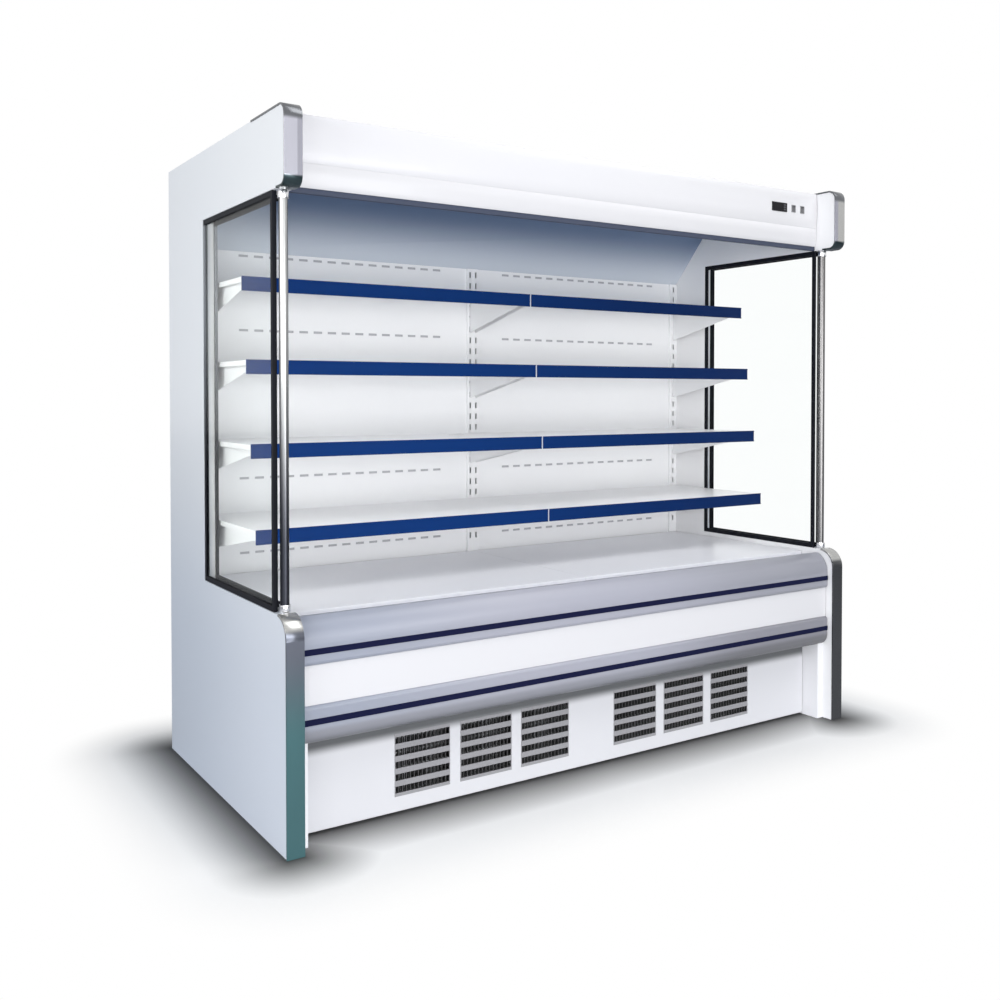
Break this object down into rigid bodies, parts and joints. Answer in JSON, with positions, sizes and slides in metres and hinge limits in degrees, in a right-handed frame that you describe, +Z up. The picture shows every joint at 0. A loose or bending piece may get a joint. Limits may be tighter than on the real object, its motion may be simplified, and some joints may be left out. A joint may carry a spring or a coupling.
{
  "type": "open multideck display fridge",
  "caption": "Tall open-front refrigerated display case with glazed ends, tiers of shelves with blue price rails over a deck, and a louvred kick plate.",
  "frame": {"origin": "middle of the footprint on the floor", "axes": "+X along the case to the shopper's right, -Y towards the shopper, +Z up"},
  "size_m": [2.23, 1.06, 2],
  "materials": {
    "white_enamel": "smooth white stoving enamel on sheet steel",
    "grey_trim": "satin mid grey coated channel",
    "stainless": "fine brushed tube",
    "galvanised_steel": "dull zinc coated sheet",
    "liner_enamel": "cool white interior enamel",
    "rail_plastic": "deep blue extruded rail",
    "bumper_plastic": "grey-lilac extruded bumper",
    "insert_plastic": "navy insert strip",
    "black_rubber": "matt black gasket",
    "black_plastic": "fine grained black moulding",
    "window_pane": "clear toughened pane",
    "lamp_plastic": "opal tube cover",
    "grille_plastic": "light grey louvre moulding",
    "fin_aluminium": "bare thin fins",
    "rotor_plastic": "dark fan moulding"
  },
  "bodies": {
    "cabinet": {"left_end_panel": "white_enamel", "right_end_panel": "white_enamel", "window_glass": "window_pane", "window_gaskets": "black_rubber", "front_posts": "stainless", "post_sockets": "stainless", "upper_edge_trims": "grey_trim", "lower_edge_trims": "grey_trim", "rear_panel": "galvanised_steel", "roof_panel": "galvanised_steel", "power_gland": "black_plastic", "canopy_fascia": "white_enamel", "fascia_lower_strip": "white_enamel", "canopy_lip_seal": "black_rubber", "air_outlet_grille": "grille_plastic", "canopy_lamp": "lamp_plastic", "ceiling_panel": "liner_enamel", "controller_display": "black_plastic", "switch_bezels": "black_plastic", "back_panels": "liner_enamel", "shelf_uprights": "liner_enamel", "shelf_brackets": "liner_enamel", "base_tub": "liner_enamel", "deck_support_rails": "galvanised_steel", "return_air_grille": "liner_enamel", "upper_bumper": "bumper_plastic", "lower_bumper": "bumper_plastic", "bumper_inserts": "insert_plastic", "front_panel": "white_enamel", "base_frame": "white_enamel", "compressor": "black_plastic", "condenser_coil": "fin_aluminium", "condenser_fan_cowl": "galvanised_steel", "evaporator_coil": "fin_aluminium", "evaporator_fan_plate": "galvanised_steel"},
    "left_shelf_1": {"left_shelf_tray_1": "liner_enamel", "left_price_rail_1": "rail_plastic"},
    "left_shelf_2": {"left_shelf_tray_2": "liner_enamel", "left_price_rail_2": "rail_plastic"},
    "left_shelf_3": {"left_shelf_tray_3": "liner_enamel", "left_price_rail_3": "rail_plastic"},
    "left_shelf_4": {"left_shelf_tray_4": "liner_enamel", "left_price_rail_4": "rail_plastic"},
    "right_shelf_1": {"right_shelf_tray_1": "liner_enamel", "right_price_rail_1": "rail_plastic"},
    "right_shelf_2": {"right_shelf_tray_2": "liner_enamel", "right_price_rail_2": "rail_plastic"},
    "right_shelf_3": {"right_shelf_tray_3": "liner_enamel", "right_price_rail_3": "rail_plastic"},
    "right_shelf_4": {"right_shelf_tray_4": "liner_enamel", "right_price_rail_4": "rail_plastic"},
    "left_deck": {"left_deck_pan": "liner_enamel"},
    "right_deck": {"right_deck_pan": "liner_enamel"},
    "kick_front": {"kick_plate": "white_enamel", "kick_grilles": "grille_plastic"},
    "lamp_switch": {"lamp_switch_rocker": "black_plastic"},
    "fan_switch": {"fan_switch_rocker": "black_plastic"},
    "condenser_rotor": {"condenser_fan": "rotor_plastic"},
    "left_evaporator_rotor": {"left_evaporator_fan": "rotor_plastic"},
    "right_evaporator_rotor": {"right_evaporator_fan": "rotor_plastic"}
  },
  "joints": [
    {"name": "left_shelf_1_lift", "type": "slide", "parent": "cabinet", "child": "left_shelf_1", "axis": [0, 0, 1], "range_m": [0, 0.05]},
    {"name": "left_shelf_2_lift", "type": "slide", "parent": "cabinet", "child": "left_shelf_2", "axis": [0, 0, 1], "range_m": [0, 0.05]},
    {"name": "left_shelf_3_lift", "type": "slide", "parent": "cabinet", "child": "left_shelf_3", "axis": [0, 0, 1], "range_m": [0, 0.05]},
    {"name": "left_shelf_4_lift", "type": "slide", "parent": "cabinet", "child": "left_shelf_4", "axis": [0, 0, 1], "range_m": [0, 0.05]},
    {"name": "right_shelf_1_lift", "type": "slide", "parent": "cabinet", "child": "right_shelf_1", "axis": [0, 0, 1], "range_m": [0, 0.05]},
    {"name": "right_shelf_2_lift", "type": "slide", "parent": "cabinet", "child": "right_shelf_2", "axis": [0, 0, 1], "range_m": [0, 0.05]},
    {"name": "right_shelf_3_lift", "type": "slide", "parent": "cabinet", "child": "right_shelf_3", "axis": [0, 0, 1], "range_m": [0, 0.05]},
    {"name": "right_shelf_4_lift", "type": "slide", "parent": "cabinet", "child": "right_shelf_4", "axis": [0, 0, 1], "range_m": [0, 0.05]},
    {"name": "left_deck_lift", "type": "slide", "parent": "cabinet", "child": "left_deck", "axis": [0, 0, 1], "range_m": [0, 0.05]},
    {"name": "right_deck_lift", "type": "slide", "parent": "cabinet", "child": "right_deck", "axis": [0, 0, 1], "range_m": [0, 0.05]},
    {"name": "kick_pull", "type": "slide", "parent": "cabinet", "child": "kick_front", "axis": [0, -1, 0], "range_m": [0, 0.05]},
    {"name": "lamp_switch_tip", "type": "hinge", "parent": "cabinet", "child": "lamp_switch", "pos_m": [0.93, -0.437, 1.928], "axis": [-1, 0, 0], "range_deg": [0, 16]},
    {"name": "fan_switch_tip", "type": "hinge", "parent": "cabinet", "child": "fan_switch", "pos_m": [0.978, -0.437, 1.928], "axis": [-1, 0, 0], "range_deg": [0, 16]},
    {"name": "condenser_fan_spin", "type": "hinge", "parent": "cabinet", "child": "condenser_rotor", "pos_m": [-0.41, -0.245, 0.175], "axis": [0, 1, 0], "continuous": true},
    {"name": "left_evaporator_fan_spin", "type": "hinge", "parent": "cabinet", "child": "left_evaporator_rotor", "pos_m": [-0.52, -0.198, 0.5], "axis": [0, 1, 0], "continuous": true},
    {"name": "right_evaporator_fan_spin", "type": "hinge", "parent": "cabinet", "child": "right_evaporator_rotor", "pos_m": [0.52, -0.198, 0.5], "axis": [0, 1, 0], "continuous": true}
  ]
}
